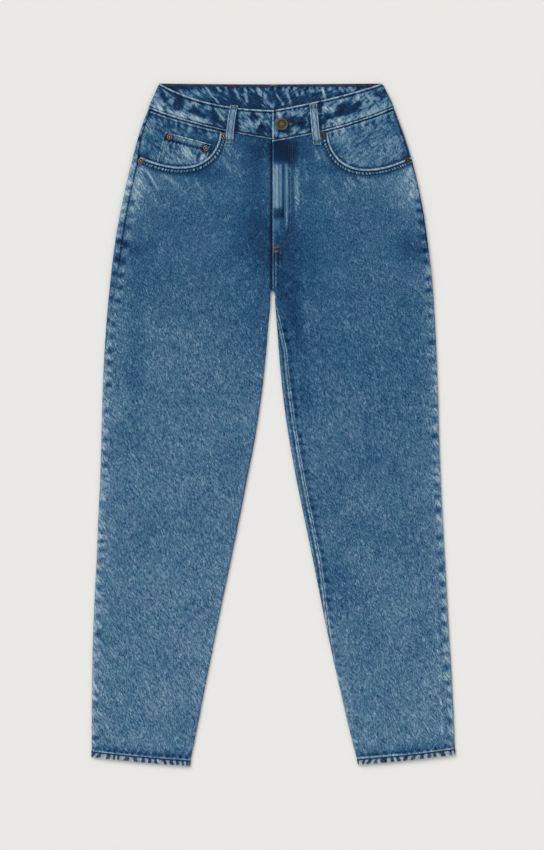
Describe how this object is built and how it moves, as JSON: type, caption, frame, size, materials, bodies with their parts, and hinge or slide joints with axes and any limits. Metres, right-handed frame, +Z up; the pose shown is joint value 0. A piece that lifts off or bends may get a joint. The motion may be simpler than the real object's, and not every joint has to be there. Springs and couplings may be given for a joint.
{
  "type": "balloon jeans",
  "caption": "High-waisted balloon-leg jeans laid flat, front up: tapered curved legs, a buttoned dipped waistband with belt loops, scooped front pockets and a small coin pocket.",
  "frame": {"origin": "on the surface that the jeans lie on, under the centre of their bounding box", "axes": "+Y from the hems to the waist, +Z up out of the front of the jeans, +X to the right as seen from above with the waist at the top"},
  "size_m": [0.5453, 1.024, 0.0138],
  "materials": {
    "denim": "washed twill, mid blue with pale flecks",
    "dark_denim": "washed twill, navy with pale creases",
    "aged_brass": "aged, half matt"
  },
  "bodies": {
    "root": {"front_left": "denim", "front_right": "denim", "back_left": "denim", "back_right": "denim", "yoke_left": "denim", "yoke_right": "denim", "waistband": "dark_denim", "pocket_facing_left": "denim", "pocket_facing_right": "denim", "coin_pocket": "denim", "fly_shield": "dark_denim", "back_pocket_left": "denim", "back_pocket_right": "denim", "loop_front_left": "denim", "loop_front_right": "denim", "loop_back_left": "denim", "loop_back_centre": "denim", "loop_back_right": "denim", "button": "aged_brass", "rivet_left_inner": "aged_brass", "rivet_left_side": "aged_brass", "rivet_right_inner": "aged_brass", "rivet_right_side": "aged_brass", "rivet_coin_outer": "aged_brass", "rivet_coin_inner": "aged_brass"}
  },
  "joints": []
}
